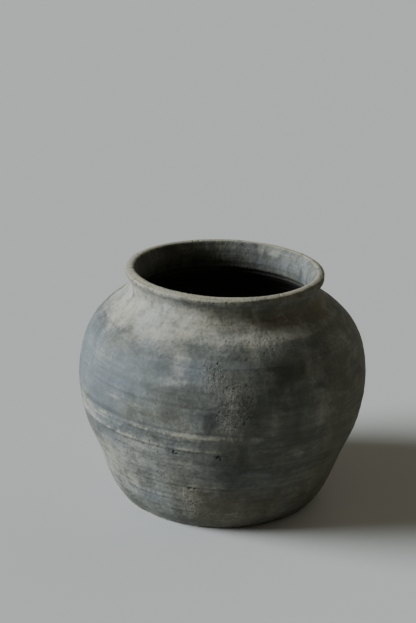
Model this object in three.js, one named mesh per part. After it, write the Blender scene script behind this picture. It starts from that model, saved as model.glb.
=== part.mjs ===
// Round-bellied clay jar with a short neck and a rolled rim, in millimetres, +Z up.
// The origin is the centre of the underside, so the jar stands on the plane z = 0.
//
// The jar is modelled the way it is raised: a foot slab, then rings of clay luted one on
// top of another. Each ring is one closed solid. Where two rings meet, the joint is a
// scarf: the lower ring's edge stands outside and the upper ring's edge drops behind it.
import * as THREE from 'three';

// Overall shape.
const FOOT_RADIUS = 105;
const BELLY_RADIUS = 150.4;
const BELLY_HEIGHT = 135;
const NECK_RADIUS = 98.2;
const NECK_HEIGHT = 225;

// Clay thicknesses.
const FLOOR_THICKNESS = 12;
const WALL_THICKNESS = 9.5;
const FOOT_EDGE_ROUNDING = 1.6;
const FLOOR_FILLET = 12;

// Heights of the rings of clay, from the stand up to the shoulder. Two shoulder rings fill
// what is left below the neck, and the split is the lower one's share of it.
const LOWER_RING_HEIGHT = 57;
const BELLY_RING_HEIGHT = 48;
const COIL_HEIGHT = 17;
const UPPER_RING_HEIGHT = 30;
const SHOULDER_SPLIT = 0.52;
const NECK_SEAM_DROP = 6;

// Scarf joints: how far a joint drops through the wall, and the slip-filled gap in it.
const SCARF_DROP = 6.5;
const JOINT_GAP = 0.3;

// Rim: how far it rises above the narrowest ring of the neck, and its rolled section.
const NECK_RISE = 15;
const LIP_OVERHANG = 5.5;
const LIP_SEAM_DROP = 2;
const LIP_HEIGHT = 6;
const LIP_WIDTH = 11.5;

// Fullness of the wall between the driving rings, each station as a share of the way up
// and a share of the way across from one ring to the next.
const LOWER_FORM = [
  { up: 0.104, across: 0.216 },
  { up: 0.252, across: 0.401 },
  { up: 0.415, across: 0.568 },
  { up: 0.622, across: 0.824 },
  { up: 0.83, across: 0.965 },
];
const SHOULDER_FORM = [
  { up: 0.278, across: 0.057 },
  { up: 0.533, across: 0.218 },
  { up: 0.744, across: 0.521 },
  { up: 0.878, across: 0.824 },
];
const NECK_FORM = [{ up: 0.66, across: 0.24 }];

// The rolled rim's section: in from the lip's outermost ring, and up from its lower edge,
// as shares of the lip's width and height.
const LIP_FORM = [
  { inward: 0.04, up: 0.06 },
  { inward: 0, up: 0.38 },
  { inward: 0.1, up: 0.72 },
  { inward: 0.34, up: 0.94 },
  { inward: 0.66, up: 1 },
  { inward: 0.89, up: 0.8 },
  { inward: 1, up: 0.3 },
];

// Fineness of the facets.
const RING_SEGMENTS = 64;
const STEP_ALONG_WALL = 13;
const STEP_ALONG_SHOULDER = 9;
const STEP_ALONG_NECK = 5;
const FILLET_STEPS = 3;
const CURVE_DIVISIONS = 2000;

const LIP_RADIUS = NECK_RADIUS + LIP_OVERHANG;
const LIP_BOTTOM = NECK_HEIGHT + NECK_RISE;

// Heights of the luted seams, on the outer face.
const LOWER_SEAM = LOWER_RING_HEIGHT;
const COIL_BOTTOM_SEAM = LOWER_SEAM + BELLY_RING_HEIGHT;
const COIL_TOP_SEAM = COIL_BOTTOM_SEAM + COIL_HEIGHT;
const UPPER_SEAM = COIL_TOP_SEAM + UPPER_RING_HEIGHT;
const NECK_SEAM = NECK_HEIGHT - NECK_SEAM_DROP;
const SHOULDER_SEAM = THREE.MathUtils.lerp(UPPER_SEAM, NECK_SEAM, SHOULDER_SPLIT);
const LIP_SEAM = LIP_BOTTOM - LIP_SEAM_DROP;

// Points of the outline between two rings, each ring given as (radius, height).
function formStations(from, to, form) {
  return form.map(({ up, across }) => new THREE.Vector3(
    THREE.MathUtils.lerp(from.x, to.x, across),
    THREE.MathUtils.lerp(from.y, to.y, up),
    0,
  ));
}

// Outer outline of the whole wall, from the foot's edge to under the lip: x is the
// radius and y the height, and the height grows all the way along it.
function wallOutline() {
  const foot = new THREE.Vector3(FOOT_RADIUS, 0, 0);
  const belly = new THREE.Vector3(BELLY_RADIUS, BELLY_HEIGHT, 0);
  const neck = new THREE.Vector3(NECK_RADIUS, NECK_HEIGHT, 0);
  const lip = new THREE.Vector3(LIP_RADIUS, LIP_BOTTOM, 0);
  const curve = new THREE.CatmullRomCurve3([
    foot,
    ...formStations(foot, belly, LOWER_FORM),
    belly,
    ...formStations(belly, neck, SHOULDER_FORM),
    neck,
    ...formStations(neck, lip, NECK_FORM),
    lip,
  ], false, 'centripetal');
  curve.arcLengthDivisions = CURVE_DIVISIONS;
  return curve;
}

const outline = wallOutline();
const outlineLength = outline.getLength();

// Distance along the outline, from the foot's edge, at which it reaches a height.
function distanceAtHeight(height) {
  let low = 0;
  let high = 1;
  for (let halving = 0; halving < 40; halving += 1) {
    const middle = (low + high) / 2;
    if (outline.getPointAt(middle).y < height) {
      low = middle;
    } else {
      high = middle;
    }
  }
  return low * outlineLength;
}

// Point in the wall at a distance along the outline and a depth in from the outer face.
function wallPoint(distance, depth) {
  const share = THREE.MathUtils.clamp(distance / outlineLength, 0, 1);
  const point = outline.getPointAt(share);
  const along = outline.getTangentAt(share);
  return new THREE.Vector2(point.x - depth * along.y, point.y + depth * along.x);
}

// Points along the wall at one depth, from one distance to another, both ends included.
function wallRun(from, to, depth, step) {
  const count = Math.max(1, Math.round(Math.abs(to - from) / step));
  return Array.from({ length: count + 1 }, (_, index) => (
    wallPoint(THREE.MathUtils.lerp(from, to, index / count), depth)));
}

// Half the joint gap, measured along the wall, so that the gap is true across the scarf.
const HALF_GAP = (JOINT_GAP / 2) * Math.hypot(1, SCARF_DROP / WALL_THICKNESS);

// Section of one ring of the wall, between the scarf joints at two seam heights.
function ringSection(lowerSeam, upperSeam, step) {
  const bottom = distanceAtHeight(lowerSeam) + HALF_GAP;
  const top = distanceAtHeight(upperSeam) - HALF_GAP;
  return [
    ...wallRun(bottom, top, 0, step),
    ...wallRun(top - SCARF_DROP, bottom - SCARF_DROP, WALL_THICKNESS, step),
  ];
}

// Section of the foot slab: a flat disc whose edge follows the outline.
function slabSection() {
  const edgeStart = distanceAtHeight(FOOT_EDGE_ROUNDING);
  const edgeEnd = distanceAtHeight(FLOOR_THICKNESS);
  return [
    new THREE.Vector2(0, 0),
    new THREE.Vector2(FOOT_RADIUS - FOOT_EDGE_ROUNDING, 0),
    ...wallRun(edgeStart, edgeEnd, 0, STEP_ALONG_NECK),
    new THREE.Vector2(0, FLOOR_THICKNESS),
  ];
}

// Section of the first ring: it stands flat on the slab, and a fillet of clay is smeared
// into the corner inside.
function lowerWallSection() {
  const base = FLOOR_THICKNESS + JOINT_GAP;
  const bottom = distanceAtHeight(base);
  const top = distanceAtHeight(LOWER_SEAM) - HALF_GAP;
  const filletTop = wallPoint(bottom + FLOOR_FILLET, WALL_THICKNESS);
  const corner = new THREE.Vector2(wallPoint(bottom, WALL_THICKNESS).x, base);
  const filletEnd = new THREE.Vector2(corner.x - FLOOR_FILLET, base);
  const fillet = new THREE.QuadraticBezierCurve(filletTop, corner, filletEnd);
  return [
    ...wallRun(bottom, top, 0, STEP_ALONG_WALL),
    ...wallRun(top - SCARF_DROP, bottom + FLOOR_FILLET, WALL_THICKNESS, STEP_ALONG_WALL),
    ...fillet.getPoints(FILLET_STEPS).slice(1),
  ];
}

// Section of the rolled rim: it sits on the neck by a scarf joint, swells past the neck
// outside and rises to a nearly flat top with rounded edges.
function lipSection() {
  const bottom = distanceAtHeight(LIP_SEAM) + HALF_GAP;
  const rolled = LIP_FORM.map(({ inward, up }) => new THREE.Vector2(
    LIP_RADIUS - inward * LIP_WIDTH,
    LIP_BOTTOM + up * LIP_HEIGHT,
  ));
  return [wallPoint(bottom, 0), ...rolled, wallPoint(bottom - SCARF_DROP, WALL_THICKNESS)];
}

// A named solid of revolution about +Z. A section that doesn't touch the axis closes on
// its own first point.
function turnedPiece(name, section, color, roughness) {
  const onAxis = section[0].x === 0;
  const profile = onAxis ? section : [...section, section[0].clone()];
  const geometry = new THREE.LatheGeometry(profile, RING_SEGMENTS);
  geometry.rotateX(Math.PI / 2);
  const material = new THREE.MeshStandardMaterial({ color, roughness, metalness: 0 });
  const mesh = new THREE.Mesh(geometry, material);
  mesh.name = name;
  return mesh;
}

// The rings of the wall between the first one and the rim, from the bottom up.
const RINGS = [
  { name: 'belly_wall', from: LOWER_SEAM, to: COIL_BOTTOM_SEAM, color: 0x7b858a },
  { name: 'seam_coil', from: COIL_BOTTOM_SEAM, to: COIL_TOP_SEAM, color: 0x858b89 },
  { name: 'upper_wall', from: COIL_TOP_SEAM, to: UPPER_SEAM, color: 0x868f93 },
  { name: 'shoulder_wall', from: UPPER_SEAM, to: SHOULDER_SEAM, color: 0x969a97 },
  { name: 'closing_ring', from: SHOULDER_SEAM, to: NECK_SEAM, color: 0x9b9c94 },
  { name: 'neck_collar', from: NECK_SEAM, to: LIP_SEAM, color: 0x77766a },
];

// Facet length along a ring: the wall curves harder the higher it is.
function stepFor(ring) {
  if (ring.from >= NECK_SEAM) {
    return STEP_ALONG_NECK;
  }
  return ring.from >= UPPER_SEAM ? STEP_ALONG_SHOULDER : STEP_ALONG_WALL;
}

const group = new THREE.Group();
group.add(turnedPiece('foot_slab', slabSection(), 0x5c5a50, 0.92));
group.add(turnedPiece('lower_wall', lowerWallSection(), 0x7d7f78, 0.9));
RINGS.forEach((ring) => {
  const section = ringSection(ring.from, ring.to, stepFor(ring));
  group.add(turnedPiece(ring.name, section, ring.color, 0.88));
});
group.add(turnedPiece('rim_roll', lipSection(), 0xa9a799, 0.9));

export default group;
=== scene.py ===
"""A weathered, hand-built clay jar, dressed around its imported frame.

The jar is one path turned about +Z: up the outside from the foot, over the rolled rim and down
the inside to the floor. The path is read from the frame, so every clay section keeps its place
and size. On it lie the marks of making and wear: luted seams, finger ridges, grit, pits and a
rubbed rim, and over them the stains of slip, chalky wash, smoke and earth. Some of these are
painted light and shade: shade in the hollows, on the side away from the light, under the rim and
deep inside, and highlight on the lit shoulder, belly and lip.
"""

from __future__ import annotations

import logging
import math
from dataclasses import dataclass, field
from enum import Enum

import bpy
import numpy as np
from mathutils import Matrix, Vector

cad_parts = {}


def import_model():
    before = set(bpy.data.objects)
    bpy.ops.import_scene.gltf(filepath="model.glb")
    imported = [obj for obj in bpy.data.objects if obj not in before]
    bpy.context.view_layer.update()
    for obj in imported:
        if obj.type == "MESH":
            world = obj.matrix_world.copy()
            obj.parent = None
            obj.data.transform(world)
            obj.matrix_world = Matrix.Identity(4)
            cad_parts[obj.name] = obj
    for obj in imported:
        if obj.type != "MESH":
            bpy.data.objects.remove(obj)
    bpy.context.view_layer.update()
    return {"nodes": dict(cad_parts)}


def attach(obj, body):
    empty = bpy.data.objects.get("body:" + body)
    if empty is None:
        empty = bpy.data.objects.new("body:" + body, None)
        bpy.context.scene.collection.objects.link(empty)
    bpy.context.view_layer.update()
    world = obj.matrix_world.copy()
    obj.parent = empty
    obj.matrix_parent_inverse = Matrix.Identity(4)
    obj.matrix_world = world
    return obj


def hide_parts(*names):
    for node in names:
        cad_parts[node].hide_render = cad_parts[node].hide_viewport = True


LOG = logging.getLogger("clay_jar")
MM = 0.001
TAU = 2 * math.pi


def smooth_step(low: float, high: float, value: np.ndarray) -> np.ndarray:
    """Ease from 0 at low to 1 at high; t * t * (3 - 2 * t) of the clamped share t.

    Args:
        low: value that gives 0.
        high: value that gives 1; it may be under low, which turns the ease round.
        value: array to ease.

    Returns:
        Array of shares from 0 to 1.
    """
    share = np.clip((value - low) / (high - low), 0.0, 1.0)
    return share * share * (3 - 2 * share)


def hump(distance: np.ndarray, width: float) -> np.ndarray:
    """Bell exp(-(distance / width) ** 2): 1 at no distance, soft at its feet."""
    return np.exp(-((distance / width) ** 2))


def swing(turn: np.ndarray, azimuth: float) -> np.ndarray:
    """Share of a turn from an azimuth in degrees to each point, the short way round, signed."""
    return (turn - azimuth / 360 + 0.5) % 1 - 0.5


def turned(radius: np.ndarray, height: np.ndarray, turn: np.ndarray) -> np.ndarray:
    """Points round the axis, (radius * sin(turn), -radius * cos(turn), height)."""
    return np.stack([radius * np.sin(TAU * turn), -radius * np.cos(TAU * turn), height], axis=-1)


def spaced(start: float, end: float, pitch: float) -> np.ndarray:
    """Distances from start to end, evenly spaced at about the pitch, three of them or more."""
    return np.linspace(start, end, max(3, round((end - start) / pitch)))


def add_object(name: str, data: bpy.types.ID) -> bpy.types.Object:
    """Make an object of a mesh, a light or a camera, and link it to the scene.

    Args:
        name: object name.
        data: what the object shows.

    Returns:
        The new object.
    """
    made = bpy.data.objects.new(name, data)
    bpy.context.scene.collection.objects.link(made)
    return made


class Grain:
    """Seeded noise on a flat lattice, which can close on itself round the jar."""

    TABLE = 4096

    def __init__(self, seed: int) -> None:
        """Draw the lattice's random order, slopes and dot sizes.

        Args:
            seed: number that fixes every draw.
        """
        draw = np.random.default_rng(seed)
        self.order = draw.permutation(self.TABLE).astype(np.int64)
        turn = draw.uniform(0, TAU, self.TABLE)
        self.slope_u, self.slope_v = np.cos(turn), np.sin(turn)
        self.place_u, self.place_v = draw.uniform(0.15, 0.85, (2, self.TABLE))
        self.chance, self.size = draw.uniform(0, 1, (2, self.TABLE))

    def key(self, i: np.ndarray, j: np.ndarray) -> np.ndarray:
        """Index into the random tables for lattice point (i, j)."""
        last = self.TABLE - 1
        return self.order[(self.order[i & last] + j) & last]

    def waves(self, u: np.ndarray, v: np.ndarray, around: int = 0) -> np.ndarray:
        """Gradient noise: each lattice corner's slope times the offset from it, eased between.

        Args:
            u: first coordinate, in cells.
            v: second coordinate, in cells.
            around: number of cells after which u repeats, or 0 for none.

        Returns:
            Values of about -1 to 1.
        """
        cell_u, cell_v = np.floor(u), np.floor(v)
        off_u, off_v = u - cell_u, v - cell_v
        i, j = cell_u.astype(np.int64), cell_v.astype(np.int64)
        ease_u = off_u**3 * (off_u * (off_u * 6 - 15) + 10)
        ease_v = off_v**3 * (off_v * (off_v * 6 - 15) + 10)
        total = np.zeros(np.broadcast(u, v).shape)
        for step_i in (0, 1):
            ring = (i + step_i) % around if around else i + step_i
            weight_u = ease_u if step_i else 1 - ease_u
            for step_j in (0, 1):
                key = self.key(ring, j + step_j)
                weight = weight_u * (ease_v if step_j else 1 - ease_v)
                reach = self.slope_u[key] * (off_u - step_i) + self.slope_v[key] * (off_v - step_j)
                total += weight * reach
        return total * 1.5

    def round_jar(
        self, place: "Place", cells: int, cell_height: float, octaves: int = 1
    ) -> np.ndarray:
        """Noise that follows the wall, each octave twice as fine and half as strong.

        Args:
            place: where the surface points lie.
            cells: cells round the jar at the first octave.
            cell_height: a cell's length along the wall, in metres.
            octaves: number of layers.

        Returns:
            Values of about -1 to 1.
        """
        total, weight = np.zeros(place.shape), 0.0
        for octave in range(octaves):
            fine = 2**octave
            layer = self.waves(
                place.turn * (cells * fine), place.along * (fine / cell_height), cells * fine
            )
            total += layer / fine
            weight += 1 / fine
        return total / weight

    def on_flat(self, x: np.ndarray, y: np.ndarray, cell: float) -> np.ndarray:
        """Noise on a level face, with square cells of a size in metres."""
        return self.waves(x / cell, y / cell)

    def dots(
        self,
        place: "Place",
        cells: int,
        cell_height: float,
        share: np.ndarray | float,
        sizes: tuple[float, float],
        ragged: np.ndarray | float = 0.0,
    ) -> np.ndarray:
        """Bowls scattered one to a lattice cell: 1 - (distance / size) ** 2, the deepest kept.

        Args:
            place: where the surface points lie.
            cells: cells round the jar.
            cell_height: a cell's length along the wall, in metres.
            share: share of the cells that hold a dot, for each point.
            sizes: smallest and largest dot radius, in metres.
            ragged: what each point adds to the bowls, to make their edges uneven.

        Returns:
            Values from 0 outside the dots to 1 at their middles.
        """
        u, v = place.turn * cells, place.along / cell_height
        i, j = np.floor(u).astype(np.int64), np.floor(v).astype(np.int64)
        cell_width = TAU * place.radius / cells
        deepest = np.zeros(place.shape)
        for step_i in (-1, 0, 1):
            for step_j in (-1, 0, 1):
                near_i, near_j = i + step_i, j + step_j
                key = self.key(near_i % cells, near_j)
                du = (u - near_i - self.place_u[key]) * cell_width
                dv = (v - near_j - self.place_v[key]) * cell_height
                size = sizes[0] + (sizes[1] - sizes[0]) * self.size[key] ** 2
                bowl = 1 + ragged - (du * du + dv * dv) / (size * size)
                deepest = np.maximum(deepest, np.where(self.chance[key] < share, bowl, 0))
        return np.minimum(deepest, 1)


@dataclass
class Place:
    """Where the points of a surface grid lie on the jar.

    Attributes:
        turn: share of a full turn from the front, towards +X, from 0 to 1.
        along: distance along the clay path from the foot's edge, in metres.
        radius: distance from the axis, in metres.
    """

    turn: np.ndarray
    along: np.ndarray
    radius: np.ndarray

    @property
    def shape(self) -> tuple[int, ...]:
        """Shape of the grid."""
        return self.radius.shape


@dataclass(frozen=True)
class Span:
    """One clay section's two faces, as distances along the clay path.

    Attributes:
        node: name of the section in the frame.
        outer: start and end on the outside.
        inner: start and end on the inside, further along the path.
    """

    node: str
    outer: tuple[float, float]
    inner: tuple[float, float]


class ClayPath:
    """The jar's section as one path: outside, rim and inside, read from the frame's corners."""

    FINE_STEP = 0.2 * MM
    SAME_PLACE = 0.1 * MM
    KNOT_SPACING = 1.2 * MM
    RINGS = (
        "lower_wall",
        "belly_wall",
        "seam_coil",
        "upper_wall",
        "shoulder_wall",
        "closing_ring",
        "neck_collar",
        "rim_roll",
    )
    SLAB = "foot_slab"

    def __init__(self, nodes: dict[str, bpy.types.Object]) -> None:
        """Read the sections and lay one smooth path through their corners.

        Args:
            nodes: the frame's objects by node name.
        """
        corners = {name: self.corners(nodes[name]) for name in (self.SLAB, *self.RINGS)}
        edges = np.concatenate([self.edges(nodes[name]) for name in corners])
        self.floor = float(corners[self.SLAB][:, 1].max())
        faces = {name: self.split_faces(points, edges) for name, points in corners.items()}
        outer = self.thinned(np.concatenate([outside for outside, _ in faces.values()]))
        inner = self.thinned(np.concatenate([faces[name][1] for name in self.RINGS]))
        top = max(float(outer[-1, 1]), float(inner[-1, 1]))
        outer = outer[outer[:, 1] <= top]
        inner = inner[inner[:, 1] < top - self.SAME_PLACE]
        self.lay(np.concatenate([outer, inner[::-1]]))
        self.crest = float(self.along[np.argmax(self.height)])
        self.spans = self.find_spans(faces)

    @staticmethod
    def ring_points(node: bpy.types.Object) -> np.ndarray:
        """Fold a turned node flat: each vertex as its distance from the axis and its height.

        Args:
            node: the node's object.

        Returns:
            Radius and height of each vertex, as an (n, 2) array.
        """
        flat = np.empty(len(node.data.vertices) * 3)
        node.data.vertices.foreach_get("co", flat)
        x, y, z = flat.reshape(-1, 3).T
        return np.stack([np.hypot(x, y), z], axis=1)

    @classmethod
    def corners(cls, node: bpy.types.Object) -> np.ndarray:
        """Corners of a node's section, each once."""
        tidy = np.round(cls.ring_points(node) / cls.SAME_PLACE) * cls.SAME_PLACE
        return np.unique(tidy, axis=0)

    @classmethod
    def edges(cls, node: bpy.types.Object) -> np.ndarray:
        """Fold a turned node's edges flat, each once.

        Args:
            node: the node's object.

        Returns:
            Rows of radius, height, radius, height.
        """
        ends = np.empty(len(node.data.edges) * 2, dtype=np.int32)
        node.data.edges.foreach_get("vertices", ends)
        pairs = cls.ring_points(node)[ends.reshape(-1, 2)].reshape(-1, 4)
        return np.unique(np.round(pairs / cls.SAME_PLACE) * cls.SAME_PLACE, axis=0)

    @classmethod
    def split_faces(cls, points: np.ndarray, edges: np.ndarray) -> tuple[np.ndarray, np.ndarray]:
        """Tell a section's outer corners from its inner ones.

        A corner is outer if no edge of the jar reaches a larger radius at its height, and inner
        if none reaches a smaller one.

        Args:
            points: the section's corners.
            edges: edges of the whole jar's section.

        Returns:
            The outer corners and the inner corners, both sorted by height.
        """
        steep = edges[np.abs(edges[:, 3] - edges[:, 1]) > cls.SAME_PLACE]
        low, high = np.minimum(steep[:, 1], steep[:, 3]), np.maximum(steep[:, 1], steep[:, 3])
        level = points[:, 1:2]
        share = (level - steep[:, 1]) / (steep[:, 3] - steep[:, 1])
        radius = steep[:, 0] + share * (steep[:, 2] - steep[:, 0])
        crossed = (level >= low) & (level <= high)
        widest = np.where(crossed, radius, -np.inf).max(axis=1)
        narrowest = np.where(crossed, radius, np.inf).min(axis=1)
        by_height = np.argsort(points[:, 1], kind="stable")
        points, widest, narrowest = points[by_height], widest[by_height], narrowest[by_height]
        slack = 3 * cls.SAME_PLACE
        outer = points[points[:, 0] >= widest - slack]
        inner = points[points[:, 0] <= narrowest + slack]
        return outer, inner

    @classmethod
    def thinned(cls, points: np.ndarray) -> np.ndarray:
        """Sort corners by height and merge each run of near ones into its mean.

        Args:
            points: corners as (radius, height) rows.

        Returns:
            The merged corners, from the bottom up.
        """
        points = points[np.argsort(points[:, 1], kind="stable")]
        apart = np.linalg.norm(np.diff(points, axis=0), axis=1) > cls.KNOT_SPACING
        group = np.concatenate([[0], np.cumsum(apart)])
        count = np.bincount(group)
        sums = [np.bincount(group, weights=points[:, axis]) for axis in (0, 1)]
        return np.stack(sums, axis=1) / count[:, None]

    def lay(self, knots: np.ndarray) -> None:
        """Run a smooth curve through the knots and store it finely, with its outward direction.

        The curve is cubic between knots, in the distance between them, and its slope at each
        knot is the parabola's through its two neighbours.

        Args:
            knots: (radius, height) points in order.
        """
        gaps = np.linalg.norm(np.diff(knots, axis=0), axis=1)
        at = np.concatenate([[0], np.cumsum(gaps)])
        slope = np.gradient(knots, at, axis=0)
        fine = np.arange(0, at[-1], self.FINE_STEP)
        index = np.clip(np.searchsorted(at, fine, side="right") - 1, 0, len(gaps) - 1)
        gap = gaps[index][:, None]
        t = ((fine - at[index]) / gaps[index])[:, None]
        points = (
            knots[index] * (1 + 2 * t) * (1 - t) ** 2
            + knots[index + 1] * t**2 * (3 - 2 * t)
            + slope[index] * gap * t * (1 - t) ** 2
            - slope[index + 1] * gap * t**2 * (1 - t)
        )
        steps = np.linalg.norm(np.diff(points, axis=0), axis=1)
        self.along = np.concatenate([[0], np.cumsum(steps)])
        self.radius, self.height = points.T
        run = np.gradient(points, self.along, axis=0)
        run /= np.linalg.norm(run, axis=1)[:, None]
        self.out_radial, self.out_up = run[:, 1], -run[:, 0]

    def outside_at(self, height: float) -> float:
        """Distance along the path at which its outside reaches a height."""
        outside = self.along <= self.crest
        return float(np.interp(height, self.height[outside], self.along[outside]))

    def inside_at(self, height: float) -> float:
        """Distance along the path at which its inside comes down to a height."""
        inside = self.along >= self.crest
        return float(np.interp(-height, -self.height[inside], self.along[inside]))

    def find_spans(self, faces: dict[str, tuple[np.ndarray, np.ndarray]]) -> list[Span]:
        """Where each ring starts and ends on both faces, meeting halfway across the joints.

        Args:
            faces: outer and inner corners of each node.

        Returns:
            One span for each ring, from the bottom up.
        """
        heights = [[face[:, 1] for face in faces[name]] for name in self.RINGS]
        low = np.array([[rises.min() for rises in pair] for pair in heights])
        high = np.array([[rises.max() for rises in pair] for pair in heights])
        seams, drops = ((high[:-1] + low[1:]) / 2).T
        slab_seam = (self.floor + low[0, 0]) / 2
        outer = [self.outside_at(slab_seam), *map(self.outside_at, seams), self.crest]
        inner = [float(self.along[-1]), *map(self.inside_at, drops), self.crest]
        return [
            Span(name, (outer[k], outer[k + 1]), (inner[k + 1], inner[k]))
            for k, name in enumerate(self.RINGS)
        ]

    def rows(self, along: np.ndarray) -> np.ndarray:
        """Radius, height, outward radial and outward up at distances along the path."""
        columns = (self.radius, self.height, self.out_radial, self.out_up)
        return np.stack([np.interp(along, self.along, column) for column in columns])


class Stain(Enum):
    """What lies on the clay, painted light and shade included, and how it mottles. Three channels share
    each mesh attribute.
    """

    CHALK_AND_HIGHLIGHT = 0
    SLIP = 1
    SMOKE_AND_SHADE = 2
    EARTH_AND_SHADE = 3
    WORN = 4
    HOLLOW_DIRT_AND_SHADE = 5
    TONE = 6
    TINT = 7
    GRIT = 8


@dataclass(frozen=True)
class Patch:
    """A soft-edged stain on the wall; some patches also paint light and shade.

    Attributes:
        azimuth: degrees round from the front, towards +X.
        height: height of its middle, in millimetres.
        half_width: half its size round the jar, in millimetres.
        half_height: half its size along the wall, in millimetres.
        strength: how much of the stain it lays at its middle.
        inside: whether it is on the inner face.
    """

    azimuth: float
    height: float
    half_width: float
    half_height: float
    strength: float = 1.0
    inside: bool = False


@dataclass(frozen=True)
class Seam:
    """A luted seam or a tool line that runs round the outside.

    Attributes:
        height: height of the line, in millimetres.
        ridge: how proud its ridge stands, in millimetres.
        ridge_rise: the ridge's place above the line, in millimetres; negative is below.
        ridge_width: the ridge's half width, in millimetres.
        groove: how deep its groove is, in millimetres.
        groove_rise: the groove's place above the line, in millimetres.
        groove_width: the groove's half width, in millimetres.
        steady: share of the line that shows all the way round.
        azimuth: degrees from the front to the middle of its clearest stretch.
        reach: half the clearest stretch, in degrees.
    """

    height: float
    ridge: float
    ridge_rise: float
    ridge_width: float
    groove: float
    groove_rise: float
    groove_width: float
    steady: float
    azimuth: float
    reach: float


# Luted seams and tool lines and, at the end, three short nicks.
SEAMS = (
    Seam(122.5, 0.7, -2.8, 2.4, 0.62, 1.0, 1.8, 0.3, -34, 42),
    Seam(105.0, 0.75, 0.6, 2.2, 0.32, -3.6, 2.2, 0.25, -34, 40),
    Seam(56.5, 0.4, 2.2, 2.4, 0.5, -0.8, 1.4, 0.3, -12, 26),
    Seam(150.0, 0.25, -4.5, 2.2, 0.35, 0.3, 0.9, 0.3, -28, 32),
    Seam(164.0, 0.2, 3.5, 3.0, 0.3, 0.0, 1.6, 0.2, -26, 22),
    Seam(114.0, 0.2, 1.2, 1.2, 0.3, -0.8, 0.9, 0.3, -12, 14),
    Seam(95.0, 0.3, 0.8, 1.4, 0.25, -1.6, 1.2, 0.25, 55, 25),
    Seam(86.0, 0.3, 0.8, 1.6, 0.25, -1.8, 1.3, 0.25, 48, 28),
    Seam(71.0, 0.2, 1.0, 1.6, 0.25, -1.2, 1.4, 0.3, 30, 40),
    Seam(37.5, 0.35, 0.6, 1.3, 0.3, -1.6, 1.3, 0.3, -28, 18),
    Seam(24.0, 0.25, 1.0, 2.0, 0.3, -1.5, 1.5, 0.3, 10, 40),
    Seam(187.0, 0.2, 1.0, 3.0, 0.2, -2.5, 2.0, 0.2, 40, 30),
    Seam(98.8, 0.0, 0.0, 1.0, 0.7, 0.0, 0.7, 0.0, -16, 3.2),
    Seam(99.5, 0.0, 0.0, 1.0, 0.6, 0.0, 0.7, 0.0, 1, 2.6),
    Seam(96.6, 0.0, 0.0, 1.0, 0.5, 0.0, 0.6, 0.0, 2, 1.6),
)

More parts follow.
